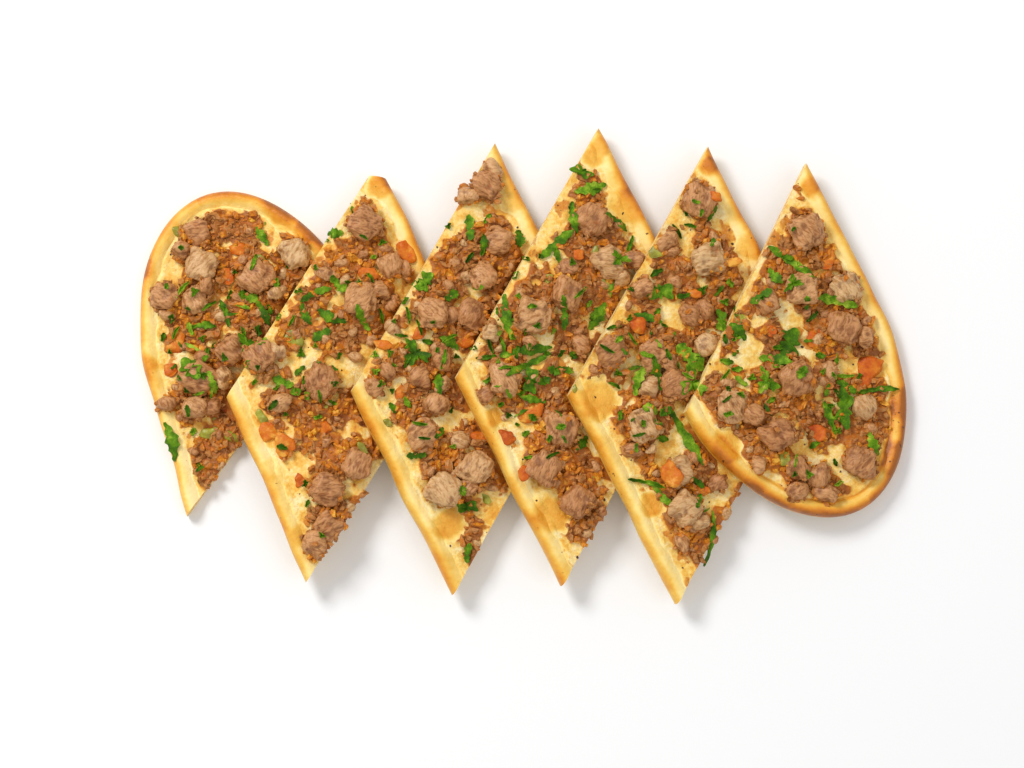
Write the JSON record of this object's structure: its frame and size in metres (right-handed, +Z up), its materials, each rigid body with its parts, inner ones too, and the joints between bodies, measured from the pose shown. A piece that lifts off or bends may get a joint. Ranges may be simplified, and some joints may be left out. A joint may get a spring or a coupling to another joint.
{
  "type": "minced meat pide",
  "caption": "Long boat-shaped flatbread with a raised golden crust, topped with diced and minced meat, cheese and herbs, cut slantwise and fanned in a row of overlapping slices.",
  "frame": {"origin": "middle of the row's bounding box, on the surface it lies on", "axes": "+X along the row to the right, +Y away from the front of the row, +Z up"},
  "size_m": [0.3438, 0.2142, 0.0337],
  "materials": {
    "bread": "baked crust, golden with browned blisters",
    "topping": "melted cheese and minced meat, slightly oily",
    "meat": "cooked meat, moist"
  },
  "bodies": {
    "root": {"slice_1_bread": "bread", "slice_1_topping": "topping", "slice_1_meat_1": "meat", "slice_1_meat_2": "meat", "slice_1_meat_3": "meat", "slice_1_meat_4": "meat", "slice_1_meat_5": "meat", "slice_1_meat_6": "meat", "slice_1_meat_7": "meat", "slice_1_meat_8": "meat", "slice_2_bread": "bread", "slice_2_topping": "topping", "slice_2_meat_1": "meat", "slice_2_meat_2": "meat", "slice_2_meat_3": "meat", "slice_2_meat_4": "meat", "slice_2_meat_5": "meat", "slice_2_meat_6": "meat", "slice_2_meat_7": "meat", "slice_2_meat_8": "meat", "slice_3_bread": "bread", "slice_3_topping": "topping", "slice_3_meat_1": "meat", "slice_3_meat_2": "meat", "slice_3_meat_3": "meat", "slice_3_meat_4": "meat", "slice_3_meat_5": "meat", "slice_3_meat_6": "meat", "slice_3_meat_7": "meat", "slice_3_meat_8": "meat", "slice_4_bread": "bread", "slice_4_topping": "topping", "slice_4_meat_1": "meat", "slice_4_meat_2": "meat", "slice_4_meat_3": "meat", "slice_4_meat_4": "meat", "slice_4_meat_5": "meat", "slice_4_meat_6": "meat", "slice_4_meat_7": "meat", "slice_4_meat_8": "meat", "slice_5_bread": "bread", "slice_5_topping": "topping", "slice_5_meat_1": "meat", "slice_5_meat_2": "meat", "slice_5_meat_3": "meat", "slice_5_meat_4": "meat", "slice_5_meat_5": "meat", "slice_5_meat_6": "meat", "slice_5_meat_7": "meat", "slice_5_meat_8": "meat", "slice_6_bread": "bread", "slice_6_topping": "topping", "slice_6_meat_1": "meat", "slice_6_meat_2": "meat", "slice_6_meat_3": "meat", "slice_6_meat_4": "meat", "slice_6_meat_5": "meat", "slice_6_meat_6": "meat", "slice_6_meat_7": "meat", "slice_6_meat_8": "meat"}
  },
  "joints": []
}
